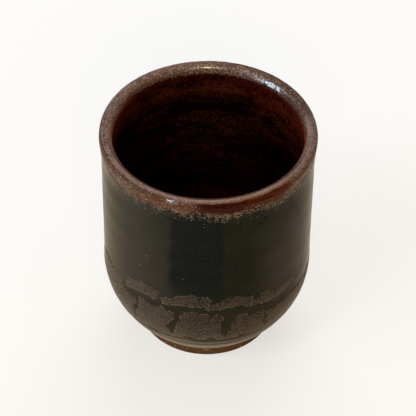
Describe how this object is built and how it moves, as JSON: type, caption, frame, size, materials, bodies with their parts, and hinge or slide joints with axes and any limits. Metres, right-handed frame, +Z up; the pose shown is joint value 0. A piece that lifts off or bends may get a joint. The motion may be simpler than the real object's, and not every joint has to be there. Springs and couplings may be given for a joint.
{
  "type": "yunomi tea cup",
  "caption": "Tall handleless stoneware tea cup with a rolled lip, a straight wall curving in to a turned foot ring, black glaze breaking to rust at the lip and a crawled brown coat low down.",
  "frame": {"origin": "centre of the foot ring's underside, on the table", "axes": "+Z up along the turning axis, -Y towards the side seen in the picture, +X to the right there"},
  "size_m": [0.076, 0.076, 0.089],
  "materials": {
    "bare_clay": "matte fired stoneware with pale grog specks",
    "red_brown_liner": "glossy, with faint throwing rings",
    "rust_lip": "glossy, speckled, breaking lighter on the lip",
    "black_glaze": "satin gloss with fine pale specks",
    "brown_glaze": "satin, granular, crawled into islands"
  },
  "bodies": {
    "root": {"clay_body": "bare_clay", "liner_glaze": "red_brown_liner", "lip_glaze": "rust_lip", "black_glaze": "black_glaze", "brown_upper_islands": "brown_glaze", "brown_lower_band": "brown_glaze"}
  },
  "joints": []
}
